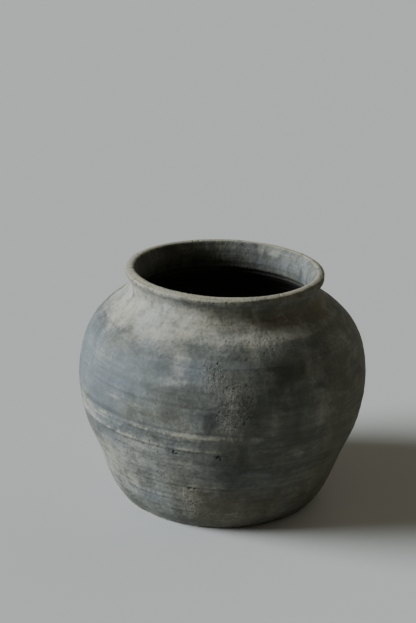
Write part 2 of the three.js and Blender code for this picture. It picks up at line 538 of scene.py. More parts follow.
# Stains of the near side and of the neck's inside, with painted shade and painted highlight among them.
NEAR_STAINS_AND_PAINTED_LIGHT: dict[Stain, tuple[Patch, ...]] = {
    Stain.CHALK_AND_HIGHLIGHT: (
        # The shoulder's pale bands here are partly wash and partly painted highlight where the shoulder
        # faces up to the light.
        Patch(-52, 216, 112, 26, 0.9),
        Patch(-62, 232, 70, 16, 0.75),
        Patch(-17, 187, 8, 20, 0.42),
        Patch(-21, 173, 12, 5, 0.38),
        # Pale band where the shoulder faces up: partly painted highlight.
        Patch(16, 209, 70, 9, 0.85),
        Patch(4, 150, 9, 24, 0.5),
        Patch(-12, 121, 8, 4, 0.8),
        Patch(-46, 143, 10, 2.4, 0.5),
        Patch(-35, 142, 7, 2.2, 0.4),
        # Painted highlight on the lit belly.
        Patch(-56, 174, 24, 11, 0.25),
        Patch(-26, 66, 60, 46, 0.3),
        Patch(-67, 108, 40, 6, 0.7),
        Patch(-58, 116, 46, 4, 0.45),
        Patch(14, 119, 7, 3, 0.5),
        Patch(-33, 101, 34, 11, 0.55),
        Patch(-39, 80, 28, 15, 0.5),
        Patch(-60, 58, 58, 40, 0.5),
        Patch(-13, 42, 11, 28, 0.5),
        Patch(42, 139, 9, 16, 0.35),
        Patch(150, 240, 46, 5, 0.5, inside=True),
        Patch(112, 234, 24, 12, 0.35, inside=True),
    ),
    Stain.SLIP: (
        Patch(-62, 160, 116, 42, 1.0),
        Patch(-54, 104, 92, 70, 0.5),
        Patch(-60, 116, 80, 14, 0.6),
        Patch(-28, 70, 12, 60, 0.5),
        Patch(-38, 35, 32, 14, 0.45),
        Patch(-12, 184, 30, 12, 0.6),
        Patch(8, 190, 30, 8, 0.5),
        Patch(118, 230, 76, 17, 0.7, inside=True),
    ),
    # Dark patches on the side away from the light (azimuth above 0) are partly smoke and partly painted
    # shade.
    Stain.SMOKE_AND_SHADE: (
        Patch(-4, 138, 7, 13, 0.85),
        # Partly painted shadow, partly dark stain.
        Patch(26, 181, 19, 16, 0.8),
        Patch(-10, 93, 19, 8, 0.5),
        # Painted shadow under the rim on the side away from the light, with some dark stain; the next
        # patch too.
        Patch(14, 229, 34, 12, 0.45),
        Patch(52, 231, 10, 6, 0.6),
        Patch(-3, 52, 24, 5, 0.5),
        Patch(-26, 164, 38, 5, 0.5),
        Patch(-40, 150, 40, 2.5, 0.45),
        Patch(-70, 178, 16, 12, 0.3),
        # Painted shade where the belly turns away from the light.
        Patch(6, 118, 26, 34, 0.4),
        Patch(28, 40, 17, 9, 0.4),
        Patch(24, 64, 62, 52, 0.5),
        Patch(-72, 14, 36, 13, 0.4),
        Patch(-52, 127, 36, 3.5, 0.5),
        Patch(66, 232, 30, 12, 0.35, inside=True),
        Patch(160, 228, 40, 14, 0.6, inside=True),
        Patch(104, 226, 64, 12, 0.5, inside=True),
        Patch(40, 118, 14, 34, 0.35),
        Patch(24, 120, 50, 80, 0.45),
        Patch(10, 78, 34, 22, 0.5),
        Patch(4, 104, 30, 22, 0.45),
        Patch(44, 76, 36, 26, 0.45),
        Patch(66, 128, 26, 50, 0.4),
        Patch(-120, 232, 110, 22, 0.8, inside=True),
    ),
    # Olive patches on the side away from the light and low on the right are partly earth and partly
    # painted shade.
    Stain.EARTH_AND_SHADE: (
        # Painted shadow under the rim on the side away from the light, with olive stain.
        Patch(45, 222, 120, 18, 0.9),
        Patch(58, 118, 112, 104, 0.62),
        Patch(10, 30, 75, 34, 0.7),
        Patch(52, 48, 70, 46, 0.8),
        Patch(-40, 84, 22, 20, 0.35),
        Patch(60, 150, 40, 26, 0.6),
        Patch(-150, 232, 80, 20, 0.5, inside=True),
    ),
}

# Where the clay is pitted and gritty.
PITTED = (
    Patch(-3, 182, 13, 16, 1.0),
    Patch(5, 152, 17, 26, 1.0),
    Patch(-13, 40, 11, 30, 0.9),
    Patch(-38, 86, 24, 24, 0.55),
    Patch(-30, 108, 22, 6, 0.5),
    Patch(18, 207, 42, 8, 0.5),
    Patch(-24, 160, 40, 20, 0.25),
)

# Small holes and chips.
HOLES = (
    Patch(-18, 100, 0.9, 2.6, 1.0),
    Patch(-16.8, 98.8, 1.6, 0.9, 0.9),
    Patch(-0.6, 99.2, 1.7, 1.6, 1.0),
    Patch(0.4, 97, 0.8, 2.0, 0.8),
    Patch(-36, 60, 2.2, 1.2, 0.8),
    Patch(-41, 72, 1.2, 0.9, 0.7),
    Patch(-13, 55, 1.3, 1.5, 0.8),
)

# Broad stains of the far side. Smaller ones are scattered with them.
FAR_BANDS: dict[Stain, tuple[Patch, ...]] = {
    Stain.CHALK_AND_HIGHLIGHT: (Patch(180, 214, 150, 13, 0.6),),
    Stain.SLIP: (Patch(200, 165, 120, 34, 0.6),),
    Stain.SMOKE_AND_SHADE: (),
    Stain.EARTH_AND_SHADE: (),
}


class Skin:
    """The marks of making and wear on the clay, and the stains and painted light and shade over them.

    Depths of marks are in millimetres until they are summed. A pair of values gives where an
    ease starts and where it is whole.
    """

    SEEDS = (11, 23, 37, 41, 59, 67, 83)

    # Patches scattered on the far side: how many, and the ranges of a patch's first five fields.
    FAR_SEED = 7
    FAR_COUNTS = {Stain.CHALK_AND_HIGHLIGHT: 9, Stain.SLIP: 7, Stain.SMOKE_AND_SHADE: 9, Stain.EARTH_AND_SHADE: 6}
    FAR_RANGES = ((95, 256), (20, 218), (16, 64), (8, 32), (0.25, 0.6))

    # The rim's marks take over by height outside and by distance from the crest inside, and
    # its tool ridge lies a bevel's drop short of the crest.
    LIP_HEIGHTS = (238 * MM, 241 * MM)
    LIP_DEPTHS = (5 * MM, 1 * MM)
    BEVEL_DROP = 6.4 * MM

    # The rough band at the foot, the depth below the crest of the unseen inside, and the
    # spacing of finger rings on the wall inside and on the floor.
    FOOT_BAND = (9 * MM, 1 * MM)
    DEEP = (24 * MM, 40 * MM)
    FINGER_RING = 11.5 * MM
    SPIRAL_RING = 12 * MM

    def __init__(self, path: ClayPath) -> None:
        """Prepare the noise layers, and scatter stains over the far side, in the near side's style.

        Args:
            path: the jar's section.
        """
        self.path = path
        self.body, self.hand, self.tool, self.grit, self.pit, self.edge, self.cloud = map(
            Grain, self.SEEDS
        )
        self.ragged = {
            Stain.CHALK_AND_HIGHLIGHT: self.hand,
            Stain.SLIP: self.edge,
            Stain.SMOKE_AND_SHADE: self.tool,
            Stain.EARTH_AND_SHADE: self.body,
        }
        draw = np.random.default_rng(self.FAR_SEED)
        self.all_round = {
            stain: NEAR_STAINS_AND_PAINTED_LIGHT[stain] + FAR_BANDS[stain] + self.scatter(draw, count)
            for stain, count in self.FAR_COUNTS.items()
        }

    def scatter(self, draw: np.random.Generator, count: int) -> tuple[Patch, ...]:
        """Draw patches for the far side, each field of a patch from its own range."""
        return tuple(
            Patch(*(draw.uniform(*span) for span in self.FAR_RANGES)) for _ in range(count)
        )

    def dress(
        self, along: np.ndarray, turn: np.ndarray
    ) -> tuple[np.ndarray, np.ndarray, np.ndarray]:
        """Mark rows of points that run round the jar.

        Each point moves from the path by its relief, along the path's outward direction.

        Args:
            along: distance along the path of each row, in metres.
            turn: share of a turn of each column.

        Returns:
            Radius and height of each point, in metres, and stains as (9, rows, columns).
        """
        radius, height, out_radial, out_up = self.path.rows(along)[..., None]
        grids = np.broadcast_arrays(turn[None, :], along[:, None], radius)
        relief, stains = np.zeros(grids[0].shape), np.zeros((len(Stain), *grids[0].shape))
        outside = along <= self.path.crest
        for chosen, face in ((outside, self.outside), (~outside, self.inside)):
            if chosen.any():
                relief[chosen], stains[:, chosen] = face(Place(*(grid[chosen] for grid in grids)))
        return radius + out_radial * relief, height + out_up * relief, stains

    def reach(self, place: Place, patch: Patch) -> np.ndarray:
        """How far points lie from a patch's middle, as a share of its size: 1 on its oval.

        Args:
            place: where the surface points lie.
            patch: the patch.

        Returns:
            The root of the squared shares round the jar and along the wall.
        """
        find = self.path.inside_at if patch.inside else self.path.outside_at
        across = swing(place.turn, patch.azimuth) * TAU * place.radius / (patch.half_width * MM)
        along = (place.along - find(patch.height * MM)) / (patch.half_height * MM)
        return np.hypot(across, along)

    def patches(self, place: Place, patches: tuple[Patch, ...], grain: Grain) -> np.ndarray:
        """Lay soft patches: full in the middle of an oval, fading out through a ragged edge.

        Args:
            place: where the surface points lie.
            patches: the patches.
            grain: noise for the ragged edges.

        Returns:
            The strongest patch's cover at each point.
        """
        ragged = 0.65 * grain.round_jar(self.stirred(place), 18, 44 * MM, 5)
        cover = np.zeros(place.shape)
        for patch in patches:
            share = smooth_step(1.6, 0.25, self.reach(place, patch) + ragged)
            cover = np.maximum(cover, patch.strength * share)
        return cover

    def seam_marks(self, place: Place) -> tuple[np.ndarray, np.ndarray]:
        """Ridge and groove of each seam: bells across the line, wavering along it.

        Args:
            place: where the surface points lie.

        Returns:
            Height of the marks in metres, and how much ridge shows, from 0 to 1.
        """
        relief, proud = np.zeros(place.shape), np.zeros(place.shape)
        for number, seam in enumerate(SEAMS):
            waver, ripple, fade = (
                self.tool.waves(place.turn * cells, np.full(place.shape, number + row), cells)
                for cells, row in ((7, 0.37), (31, 0.71), (13, 9.13))
            )
            line = self.path.outside_at(seam.height * MM) + (0.9 * waver + 0.35 * ripple) * MM
            aside = np.abs(swing(place.turn, seam.azimuth)) * 360 / seam.reach
            shown = seam.steady + (1 - seam.steady) * smooth_step(1.4, 0.7, aside)
            shown = np.clip(shown * (0.8 + 0.9 * fade + 0.3 * ripple), 0, 1.2)
            rise = place.along - line
            ridge = hump(rise - seam.ridge_rise * MM, seam.ridge_width * MM) * shown
            groove = hump(rise - seam.groove_rise * MM, seam.groove_width * MM) * shown
            relief += (seam.ridge * ridge - seam.groove * groove) * MM
            proud = np.maximum(proud, ridge * min(1.0, seam.ridge / 0.7))
        return relief, proud

    def stirred(self, place: Place) -> Place:
        """The same points pushed about by soft noise, so that stains don't line up in rows.

        Args:
            place: where the surface points lie.

        Returns:
            Places up to about 12 mm away.
        """
        across = 0.013 * self.hand.round_jar(place, 22, 36 * MM, 3)
        up = 12 * MM * self.edge.round_jar(place, 22, 36 * MM, 3)
        return Place(place.turn + across, place.along + up, place.radius)

    def mottle(self, place: Place) -> tuple[np.ndarray, np.ndarray]:
        """Light and dark, and warm and cool: soft clouds, blots, level wipes and upright runs.

        Args:
            place: where the surface points lie.

        Returns:
            Tone and tint, each about -1 to 1.
        """
        place = self.stirred(place)
        clouds = self.cloud.round_jar(place, 24, 38 * MM, 5)
        blots = self.grit.round_jar(place, 64, 13 * MM, 3)
        wipes = self.hand.round_jar(place, 22, 8 * MM, 3)
        runs = self.edge.round_jar(place, 80, 45 * MM, 2)
        shown = smooth_step(-0.3, 0.4, self.body.round_jar(place, 7, 90 * MM, 2))
        tone = 0.85 * clouds + 0.4 * blots + 0.35 * wipes + 0.3 * runs * shown
        tint = self.body.round_jar(place, 15, 45 * MM, 4)
        return tone, tint + 0.35 * self.grit.round_jar(place, 60, 16 * MM, 2)

    def outside(self, place: Place) -> tuple[np.ndarray, np.ndarray]:
        """Relief and stains of the outer wall and the rim.

        Args:
            place: where the surface points lie.

        Returns:
            Relief in metres along the outward direction, and stains as (9, rows, columns).
        """
        noise = self.hand.round_jar
        seams, proud = self.seam_marks(place)
        pitted = 0.10 + 0.12 * self.cloud.round_jar(place, 9, 60 * MM, 3)
        pitted = np.clip(pitted, 0.02, 1)
        pitted = np.maximum(pitted, self.patches(place, PITTED, self.edge))
        chalk_and_highlight, slip, smoke_and_shade, earth_and_shade = (
            self.patches(place, self.all_round[stain], grain) for stain, grain in self.ragged.items()
        )
        slip = np.clip(slip * (1 - 0.6 * pitted), 0, 1)
        swell = 0.55 * noise(place, 3, 90 * MM) + 0.45 * noise(place, 8, 38 * MM, 2)
        finger = 0.16 * self.tool.round_jar(place, 5, 9 * MM, 2)
        wiped = 0.07 * self.tool.round_jar(place, 11, 2.6 * MM, 2) * (1 - 0.5 * slip)
        coarse = self.grit.round_jar(self.stirred(place), 190, 5 * MM, 3)
        rough = (0.05 + 0.10 * (1 - slip) + 0.26 * pitted) * coarse
        edge = 1.1 * self.cloud.round_jar(place, 420, 2.3 * MM, 2)
        foot = smooth_step(*self.FOOT_BAND, place.along)
        share = np.maximum(smooth_step(0.2, 0.9, pitted), 0.5 * foot)
        small = self.pit.dots(place, 320, 2.9 * MM, 0.03 + 0.85 * share, (0.45 * MM, 1.1 * MM), edge)
        large = self.edge.dots(place, 96, 9.5 * MM, 0.3 * share, (0.7 * MM, 1.7 * MM), edge)
        grains = self.grit.dots(place, 240, 3.9 * MM, 0.1 + 0.5 * share, (0.45 * MM, 1 * MM), edge)
        holes = np.zeros(place.shape)
        for hole in HOLES:
            reach = self.reach(place, hole) + 0.7 * edge + 0.3 * coarse
            holes = np.maximum(holes, hole.strength * smooth_step(1.2, 0.3, reach))
        fine = wiped + rough - 0.38 * small - 0.75 * large - 1.3 * holes + 0.16 * grains
        fine += 0.9 * foot * self.edge.round_jar(place, 46, 12 * MM, 3)
        lip = smooth_step(*map(self.path.outside_at, self.LIP_HEIGHTS), place.along)
        relief = seams + (swell + finger + fine) * MM
        # Pits, holes and seam grooves are darkened: dirt and painted shade.
        hollow_dirt_and_shade = np.clip(0.9 * small**1.5 + 0.8 * large + 1.4 * holes - 1.2 * wiped, 0, 1)
        hollow_dirt_and_shade = np.clip(hollow_dirt_and_shade - np.minimum(seams, 0) / (1.5 * MM), 0, 1)
        mottle = self.cloud.round_jar(place, 60, 15 * MM, 4)
        chalk_and_highlight = np.clip(chalk_and_highlight * (0.95 + 0.6 * mottle) + 0.10 * mottle, 0, 1)
        smoke_and_shade = np.clip(smoke_and_shade + 0.22 * self.body.round_jar(place, 6, 55 * MM, 4), 0, 1)
        earth_and_shade = np.clip(earth_and_shade + 0.15 * self.edge.round_jar(place, 8, 40 * MM, 4), 0, 1)
        worn = np.clip(0.75 * proud * (0.7 + 0.9 * mottle) + 0.6 * foot, 0, 1)
        stains = np.stack([chalk_and_highlight, slip, smoke_and_shade, earth_and_shade, worn, hollow_dirt_and_shade, *self.mottle(place), pitted])
        return self.met(self.lip_marks(place), (relief, stains), lip)

    @staticmethod
    def met(
        rim: tuple[np.ndarray, np.ndarray], wall: tuple[np.ndarray, np.ndarray], share: np.ndarray
    ) -> tuple[np.ndarray, np.ndarray]:
        """Relief and stains of the wall, with a share of the way to the rim's."""
        relief, stains = (mark + (lip - mark) * share for lip, mark in zip(rim, wall))
        return relief, stains

    def lip_marks(self, place: Place) -> tuple[np.ndarray, np.ndarray]:
        """The rolled rim's tool ridge, uneven crest, small chips and rubbed, stained top, with painted
        light and shade.

        Args:
            place: where the surface points lie.

        Returns:
            Relief in metres along the outward direction, and stains as (9, rows, columns).
        """
        waver = self.hand.waves(place.turn * 11, np.full(place.shape, 0.43), 11)
        bevel = place.along - (self.path.crest - self.BEVEL_DROP) - 0.6 * waver * MM
        line = hump(bevel - 1.9 * MM, 1.0 * MM) * smooth_step(-0.4, 0.6, waver)
        ridge = 0.25 * hump(bevel, 1.2 * MM) - 0.3 * line
        uneven = 0.5 * self.hand.round_jar(place, 14, 60 * MM, 2)
        rough = 0.22 * self.grit.round_jar(place, 260, 3.6 * MM, 3)
        chips = self.pit.dots(place, 110, 6 * MM, 0.22, (0.8 * MM, 2.2 * MM))
        small = self.edge.dots(place, 330, 2.2 * MM, 0.25, (0.4 * MM, 0.9 * MM))
        # full is 1 on the side towards the key light, 66 degrees from the front towards -X, and 0
        # opposite: the lip is fuller there, and the colours below use it as painted light and shade.
        full = smooth_step(-0.5, 0.7, np.cos(TAU * (place.turn + 66 / 360)))
        drop = (self.path.crest - place.along) / MM
        thinned = 1.5 * (1 - full) * hump(drop - 9, 3.6)
        relief = (ridge + uneven + rough - thinned - 0.5 * chips - 0.25 * small) * MM
        # Chips, small pits and the groove under the bevel are darkened: dirt and painted shade.
        hollow_dirt_and_shade = np.clip(0.6 * chips + 0.5 * small + 0.5 * line, 0, 1)
        mottle = self.cloud.round_jar(place, 60, 15 * MM, 4)
        smoke_and_shade = smooth_step(0.1, 0.7, self.body.round_jar(place, 38, 20 * MM, 3))
        # The pale rubbed band reaches further down where full is high: rubbing, with painted light on the
        # lit side.
        bare = smooth_step(1.4, -0.6, drop - 4.0 - 3.4 * full - 0.9 * waver - 1.2 * mottle)
        face = 1 - bare
        worn = np.clip(0.95 + 0.8 * mottle - 0.5 * smoke_and_shade, 0, 1) * bare
        # The lip's outer face is pale on the lit side, a painted highlight, and olive and dark on the
        # other side, painted shade.
        chalk_and_highlight = np.clip(0.45 + 0.6 * mottle, 0, 1) * face * full
        earth_and_shade = 0.2 + 0.75 * face * (1 - full)
        smoke_and_shade = 0.6 * smoke_and_shade + 0.35 * face * (1 - full)
        zero = np.zeros(place.shape)
        stains = [chalk_and_highlight, zero, smoke_and_shade, earth_and_shade, worn, hollow_dirt_and_shade, *self.mottle(place), 0.6 + zero]
        return relief, np.stack(stains)

    def inside(self, place: Place) -> tuple[np.ndarray, np.ndarray]:
        """Relief and stains of the inner wall: finger rings, streaks, pits, soot, wash and painted shade
        deep down.

        Args:
            place: where the surface points lie.

        Returns:
            Relief in metres along the outward direction, and stains as (9, rows, columns).
        """
        depth = place.along - self.path.crest
        waver = 1.6 * MM * self.hand.round_jar(place, 5, 60 * MM)
        rings = np.sin((place.along + waver) * TAU / self.FINGER_RING)
        deep = smooth_step(*self.DEEP, depth)
        clear = 1 - deep
        finger = deep * (0.55 + 0.35 * self.tool.round_jar(place, 4, 30 * MM)) * rings
        swell = 0.5 * self.hand.round_jar(place, 8, 38 * MM, 2)
        streaks = self.tool.round_jar(place, 7, 2.8 * MM, 2)
        rough = 0.16 * self.grit.round_jar(place, 190, 5 * MM, 3)
        small = self.pit.dots(place, 260, 3.4 * MM, 0.16, (0.5 * MM, 1.2 * MM))
        relief = (finger + swell + 0.12 * streaks + rough - 0.3 * small) * MM
        lip = smooth_step(*self.LIP_DEPTHS, depth)
        runs = self.cloud.round_jar(self.stirred(place), 60, 17 * MM, 4)
        chalk_and_highlight, slip, smoke_and_shade = (
            self.patches(place, NEAR_STAINS_AND_PAINTED_LIGHT[stain], self.ragged[stain])
            for stain in (Stain.CHALK_AND_HIGHLIGHT, Stain.SLIP, Stain.SMOKE_AND_SHADE)
        )
        chalk_and_highlight = chalk_and_highlight * (0.6 + 1.2 * runs)
        # Deep inside, the wall is darkened by depth alone: painted shade.
        smoke_and_shade = np.maximum(smoke_and_shade, deep * 0.75) + 0.2 * self.body.round_jar(place, 6, 55 * MM, 4)
        smoke_and_shade = smoke_and_shade + 0.4 * smooth_step(0.0, 0.5, -runs) * clear
        earth_and_shade = np.clip(0.35 + 0.5 * self.edge.round_jar(place, 8, 40 * MM, 4), 0, 1)
        worn = np.clip(0.5 * runs - 0.1, 0, 1) * clear
        # Pits and the troughs between finger rings are darkened: dirt and painted shade.
        hollow_dirt_and_shade = np.clip(0.6 * small - 0.35 * deep * rings, 0, 1)
        washes = np.clip([chalk_and_highlight * clear, slip * clear, smoke_and_shade, earth_and_shade, worn, hollow_dirt_and_shade], 0, 1)
        gritty = np.full(place.shape, 0.35)
        stains = np.concatenate([washes, [*self.mottle(place), gritty]])
        return self.met(self.lip_marks(place), (relief, stains), lip)

    def slab(self, x: np.ndarray, y: np.ndarray, under: bool) -> tuple[np.ndarray, np.ndarray]:
        """Relief and stains of the slab's flat faces: sand marks below, a wiped spiral above.

        Args:
            x: first coordinate, in metres.
            y: second coordinate, in metres.
            under: true for the underside, false for the floor inside.

        Returns:
            Relief in metres away from the clay, and stains as (9, ...).
        """
        radius, turn = np.hypot(x, y), np.arctan2(y, x)
        rough = self.grit.on_flat(x, y, 2.2 * MM) + 0.5 * self.hand.on_flat(x, y, 1.1 * MM)
        swell = self.body.on_flat(x, y, 34 * MM) + 0.5 * self.edge.on_flat(x, y, 15 * MM)
        mottle = self.cloud.on_flat(x, y, 21 * MM) + 0.5 * self.hand.on_flat(x, y, 8 * MM)
        zero = np.zeros(x.shape)
        if under:
            dome = smooth_step(88 * MM, 30 * MM, radius)
            relief = (-1.1 * dome - 0.25 * (swell + 1.2) * dome - 0.12 * np.abs(rough)) * MM
            worn = smooth_step(84 * MM, 100 * MM, radius + 5 * MM * mottle)
            chalk_and_highlight = np.clip(0.25 + 0.25 * mottle, 0, 1) * (1 - worn)
            earth_and_shade = np.clip(0.5 + 0.25 * swell, 0, 1)
            # Low places of the sanded underside are darkened: dirt and painted shade.
            low_dirt_and_shade = np.clip(-0.5 * rough, 0, 1)
            washes = [chalk_and_highlight, zero, 0.3 + zero, earth_and_shade, 0.7 * worn, low_dirt_and_shade]
            return relief, np.stack([*washes, 0.45 * mottle, 0.6 * swell, 0.6 + zero])
        spiral = np.sin(radius * TAU / self.SPIRAL_RING - turn)
        spiral = spiral * smooth_step(6 * MM, 22 * MM, radius)
        spiral = spiral * smooth_step(96 * MM, 84 * MM, radius)
        relief = (0.6 * spiral + 0.35 * swell + 0.15 * rough) * MM
        # The floor inside is darkened all over: painted shade deep in the jar.
        smoke_and_shade = np.clip(0.65 + 0.3 * swell, 0, 1)
        chalk_and_highlight = np.clip(0.15 + 0.2 * mottle, 0, 1)
        # The spiral's troughs are darkened: dirt and painted shade.
        washes = [chalk_and_highlight, zero, smoke_and_shade, 0.5 + zero, zero, np.clip(-0.4 * spiral, 0, 1)]
        return relief, np.stack([*washes, 0.45 * mottle, 0.6 * swell, 0.4 + zero])


STAIN_LAYERS = ("wash", "wear", "mottle")
SHARP_ANGLE = math.radians(62)


class Ends(Enum):
    """How a woven grid's rows close."""

    LOOP = "the last row joins the first"
    POLES = "the first and last rows are single points on the axis"


def woven_mesh(name: str, grid: np.ndarray, stains: np.ndarray, ends: Ends) -> bpy.types.Object:
    """Weave a grid of points into one closed mesh, columns closing round the jar.

    Point (row, column) joins (row + 1, column) and (row, column + 1), with faces wound so that
    they look outwards when rows climb the outside and columns run anticlockwise from above.

    Args:
        name: object name.
        grid: points as (rows, columns, 3), in metres.
        stains: stains as (9, rows, columns).
        ends: how the rows close.

    Returns:
        The new object, linked to the scene.
    """
    rows, columns = grid.shape[:2]
    index = np.arange(rows * columns).reshape(rows, columns)
    if ends is Ends.LOOP:
        below, above = index, np.roll(index, -1, axis=0)
        fans: list[np.ndarray] = []
    else:
        below, above = index[1:-2], index[2:-1]
        first, last = index[1], index[-2]
        bottom, top = np.full(columns, index[0, 0]), np.full(columns, index[-1, 0])
        fans = [
            np.stack([bottom, np.roll(first, -1), first], axis=1),
            np.stack([last, np.roll(last, -1), top], axis=1),
        ]
    points, channels = grid.reshape(-1, 3), stains.reshape(len(Stain), -1)
    quads = np.stack([below, np.roll(below, -1, 1), np.roll(above, -1, 1), above], axis=-1)
    quads = quads.reshape(-1, 4)
    corners = np.concatenate([quads.ravel(), *[fan.ravel() for fan in fans]])
    triangles = sum(len(fan) for fan in fans)
    starts = np.concatenate([
        np.arange(len(quads)) * 4,
        len(quads) * 4 + np.arange(triangles) * 3,
    ])
    used, corners = np.unique(corners, return_inverse=True)
    mesh = bpy.data.meshes.new(name)
    mesh.vertices.add(len(used))
    mesh.vertices.foreach_set("co", points[used].astype(np.float32).ravel())
    mesh.loops.add(len(corners))
    mesh.loops.foreach_set("vertex_index", corners.astype(np.int32).ravel())
    mesh.polygons.add(len(starts))
    mesh.polygons.foreach_set("loop_start", starts.astype(np.int32))
    mesh.update(calc_edges=True)
    mesh.shade_smooth()
    for number, label in enumerate(STAIN_LAYERS):
        layer = mesh.attributes.new(label, "FLOAT_VECTOR", "POINT")
        packed = channels[3 * number : 3 * number + 3, used].T
        layer.data.foreach_set("vector", packed.astype(np.float32).ravel())
    mesh.set_sharp_from_angle(angle=SHARP_ANGLE)
    return add_object(name, mesh)


@dataclass(frozen=True)
class Weave:
    """How finely a piece is woven.

    Attributes:
        columns: points round the jar.
        outer_pitch: distance between rows on the outside, in metres.
        inner_pitch: distance between rows on the inside, in metres.
    """

    columns: int
    outer_pitch: float
    inner_pitch: float

    def turns(self) -> np.ndarray:
        """Share of a turn of each column."""
        return np.arange(self.columns) / self.columns

    def coarse(self) -> "Weave":
        return Weave(self.columns // 3, self.outer_pitch * 3, self.inner_pitch * 3)


@dataclass(frozen=True)
class Settling:
    """How the soft jar settled: its rim isn't quite level.

    Attributes:
        rim_tilt: slope of the rim's plane, down towards +X.
        rim_dip: slope of the rim's plane, down towards the back.
        from_height: height at which the rim's tilt begins, in metres.
        to_height: height from which it is whole, in metres.
    """

    rim_tilt: float = 0.010
    rim_dip: float = 0.007
    from_height: float = 180 * MM
    to_height: float = 236 * MM

    def settle(self, points: np.ndarray) -> np.ndarray:
        """Lower points as the clay settled: z falls by the tilt's plane, eased in with height.

        Args:
            points: points as (..., 3), in metres.

        Returns:
            The lowered points, none under the stand.
        """
        x, y, z = points[..., 0], points[..., 1], points[..., 2]
        share = smooth_step(self.from_height, self.to_height, z)
        down = share * (self.rim_tilt * x + self.rim_dip * y)
        return np.stack([x, y, np.maximum(z - down, 0)], axis=-1)


@dataclass
class ClayRing:
    """One ring of the wall: its outer face, its inner face and the joints between them.

    Attributes:
        span: the ring's place along the path.
        skin: the marks and stains.
        weave: how finely it is woven.
        settling: how the jar settled.
    """

    span: Span
    skin: Skin
    weave: Weave
    settling: Settling

    def rows_along(self) -> np.ndarray:
        """Space the ring's rows evenly on each face, the outside first.

        Returns:
            Distances along the path, with a shared end of the two faces given once.
        """
        outer = spaced(*self.span.outer, self.weave.outer_pitch)
        inner = spaced(*self.span.inner, self.weave.inner_pitch)
        if self.span.outer[1] == self.span.inner[0]:
            inner = inner[1:]
        return np.concatenate([outer, inner])

    def build(self) -> bpy.types.Object:
        """Weave the ring.

        Returns:
            The ring's object.
        """
        turn = self.weave.turns()
        radius, height, stains = self.skin.dress(self.rows_along(), turn)
        points = self.settling.settle(turned(radius, height, turn))
        return woven_mesh(self.span.node + "_clay", points, stains, Ends.LOOP)


@dataclass
class FootSlab:
    """The disc the jar stands on: its sanded underside, its edge and the floor inside.

    Attributes:
        node: the slab's name in the frame.
        edge_end: distance along the path at which the edge meets the first ring.
        skin: the marks and stains.
        weave: how finely it is woven.
        settling: how the jar settled.
    """

    node: str
    edge_end: float
    skin: Skin
    weave: Weave
    settling: Settling

    def build(self) -> bpy.types.Object:
        """Weave the slab: rows run out under it, up its edge and in over the floor.

        Returns:
            The slab's object.
        """
        turn = self.weave.turns()
        along = spaced(0, self.edge_end, self.weave.outer_pitch)
        radius, height, edge_stains = self.skin.dress(along, turn)
        floor_height = float(self.skin.path.rows(along)[1, -1])
        under, under_stains = self.disc(radius[0], turn, 0.0, True)
        floor, floor_stains = self.disc(radius[-1], turn, floor_height, False)
        grid = np.concatenate([under[:-1], turned(radius, height, turn), floor[::-1][1:]])
        stains = [under_stains[:, :-1], edge_stains, floor_stains[:, ::-1][:, 1:]]
        points = self.settling.settle(grid)
        return woven_mesh(self.node + "_clay", points, np.concatenate(stains, axis=1), Ends.POLES)

    def disc(
        self, rim: np.ndarray, turn: np.ndarray, height: float, under: bool
    ) -> tuple[np.ndarray, np.ndarray]:
        """A flat face as rings of points from its middle out to a given rim.

        Args:
            rim: radius of the face's edge in each column.
            turn: share of a turn of each column.
            height: the face's height.
            under: true for the underside.

        Returns:
            Points as (rows, columns, 3) and stains as (9, rows, columns).
        """
        count = round(float(rim.mean()) / self.weave.inner_pitch)
        share = np.linspace(0, 1, count)[:, None]
        points = turned(share * rim, np.full((count, len(turn)), height), turn)
        relief, stains = self.skin.slab(points[..., 0], points[..., 1], under)
        relief = relief * smooth_step(1.0, 0.97, share)
        points[..., 2] += -relief if under else relief
        return points, stains


class Value:
    """A number in a material, which takes part in Python arithmetic."""

    def __init__(self, board: "Board", socket: bpy.types.NodeSocket) -> None:
        """Wrap a socket of a board."""
        self.board, self.socket = board, socket

    def maths(self, operation: str, *terms: "Value | float", clamp: bool = False) -> "Value":
        """Add a Math node.

        Args:
            operation: the node's operation.
            terms: its inputs in order.
            clamp: whether the result is held to 0 to 1.

        Returns:
            The node's result.
        """
        settings = {"operation": operation, "use_clamp": clamp}
        return self.board.value("ShaderNodeMath", settings, dict(enumerate(terms)))

    def __add__(self, other: "Value | float") -> "Value":
        """Sum."""
        return self.maths("ADD", self, other)

    def __sub__(self, other: "Value | float") -> "Value":
        """Difference."""
        return self.maths("SUBTRACT", self, other)

    def __rsub__(self, other: float) -> "Value":
        """Difference, with the number first."""
        return self.maths("SUBTRACT", other, self)

    def __mul__(self, other: "Value | float") -> "Value":
        """Product."""
        return self.maths("MULTIPLY", self, other)

    __radd__ = __add__
    __rmul__ = __mul__

    def held(self) -> "Value":
        """The number held to 0 to 1."""
        return self.maths("ADD", self, 0.0, clamp=True)

    def eased(self, low: float, high: float) -> "Value":
        """Ease the number, as smooth_step does for arrays.

        Args:
            low: value that gives 0.
            high: value that gives 1.

        Returns:
            The eased number.
        """
        inputs = {"Value": self, "From Min": low, "From Max": high}
        settings = {"interpolation_type": "SMOOTHSTEP"}
        return self.board.value("ShaderNodeMapRange", settings, inputs)


